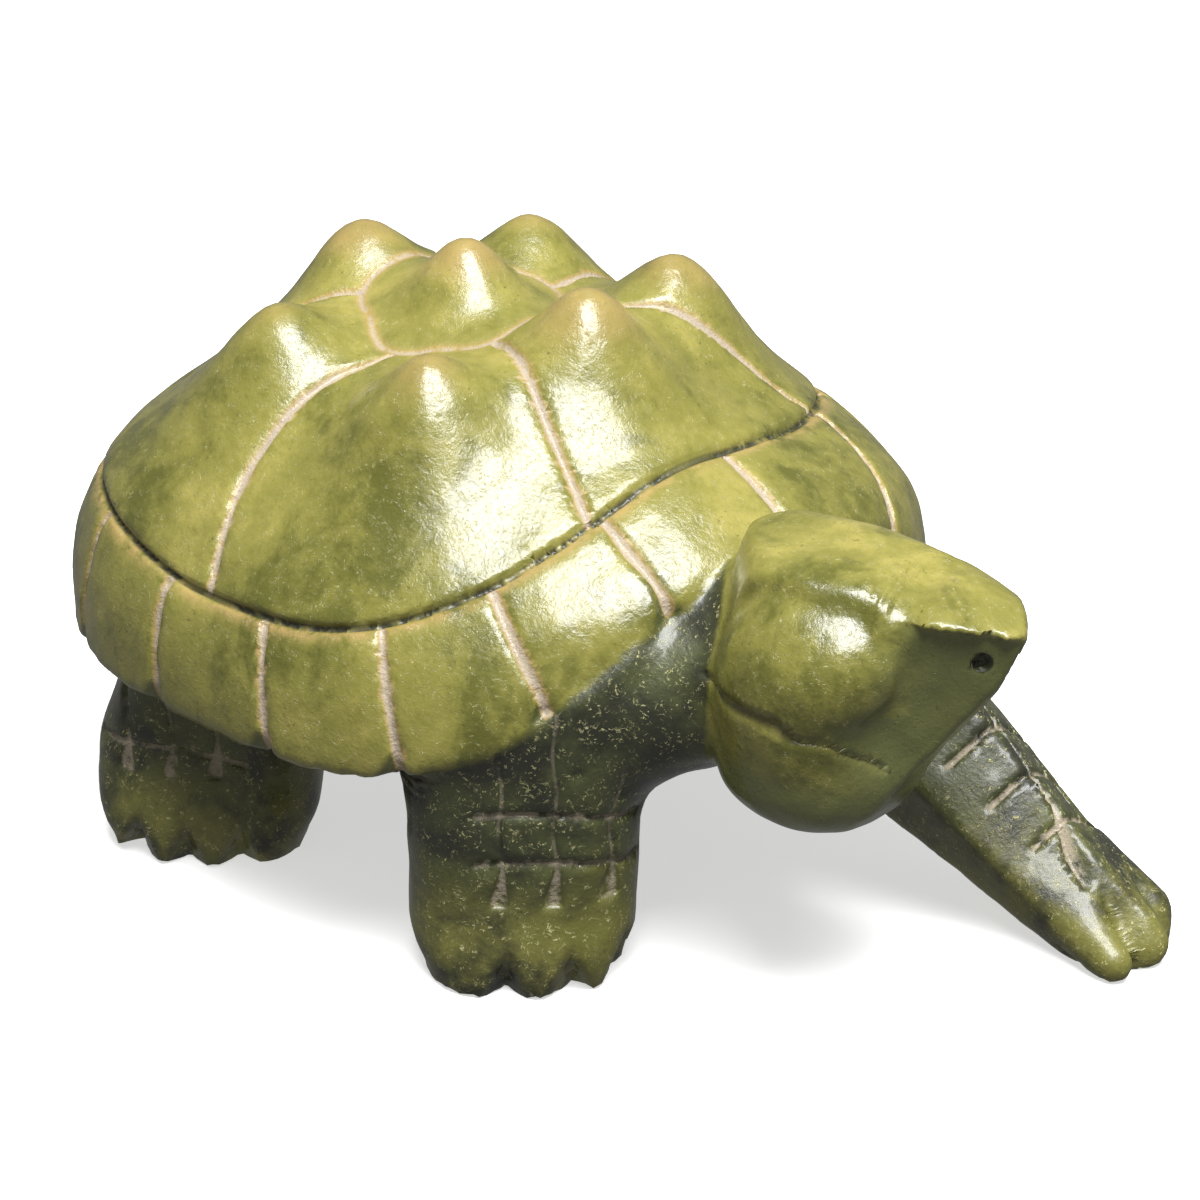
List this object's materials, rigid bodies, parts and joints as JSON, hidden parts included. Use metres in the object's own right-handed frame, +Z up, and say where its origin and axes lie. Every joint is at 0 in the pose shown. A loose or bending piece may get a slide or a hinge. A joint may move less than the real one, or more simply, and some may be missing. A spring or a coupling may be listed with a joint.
{
  "type": "stone turtle carving",
  "caption": "Turtle carved from polished green stone: knobbed domed shell with cut grooves, thick neck, head turned to its right, one foreleg stretched ahead",
  "frame": {"origin": "on the ground under the middle of the carving's bounding box", "axes": "+Z up, +X towards the front, where the head and the stretched foreleg are, +Y towards the turtle's left"},
  "size_m": [0.1764, 0.123, 0.0964],
  "materials": {
    "green_stone": "polished"
  },
  "bodies": {
    "root": {"stone_turtle": "green_stone"}
  },
  "joints": []
}
